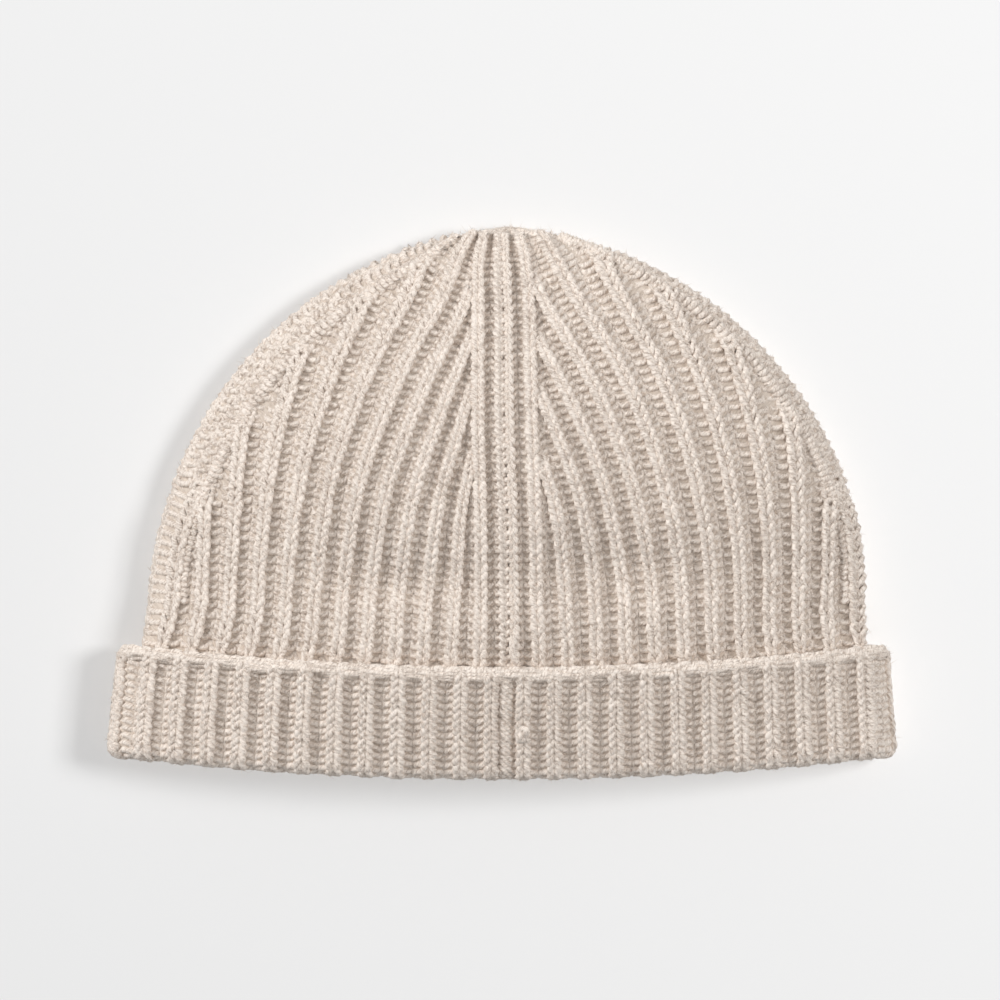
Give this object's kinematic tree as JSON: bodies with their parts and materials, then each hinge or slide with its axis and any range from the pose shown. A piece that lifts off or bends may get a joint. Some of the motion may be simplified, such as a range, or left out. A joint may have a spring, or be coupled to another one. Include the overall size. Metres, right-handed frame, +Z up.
{
  "type": "baby beanie",
  "caption": "Ribbed knit baby cap with decreased gores, a closed rounded tip, a turned-up cuff and a sewn back seam, lying flat with its head opening kept open.",
  "frame": {"origin": "middle of the hat's footprint, on the surface that it lies on", "axes": "+Z up from the surface, +Y from the brim towards the closed tip, +X to the right as seen from above with the tip up"},
  "size_m": [0.19, 0.1342, 0.0303],
  "materials": {
    "wool_knit": "soft cream wool, 1 by 1 rib, slightly fuzzy",
    "seam_wool": "cream wool, sewn edge to edge"
  },
  "bodies": {
    "root": {"crown": "wool_knit", "cuff": "wool_knit", "back_seam": "seam_wool", "cuff_seam": "seam_wool"}
  },
  "joints": []
}
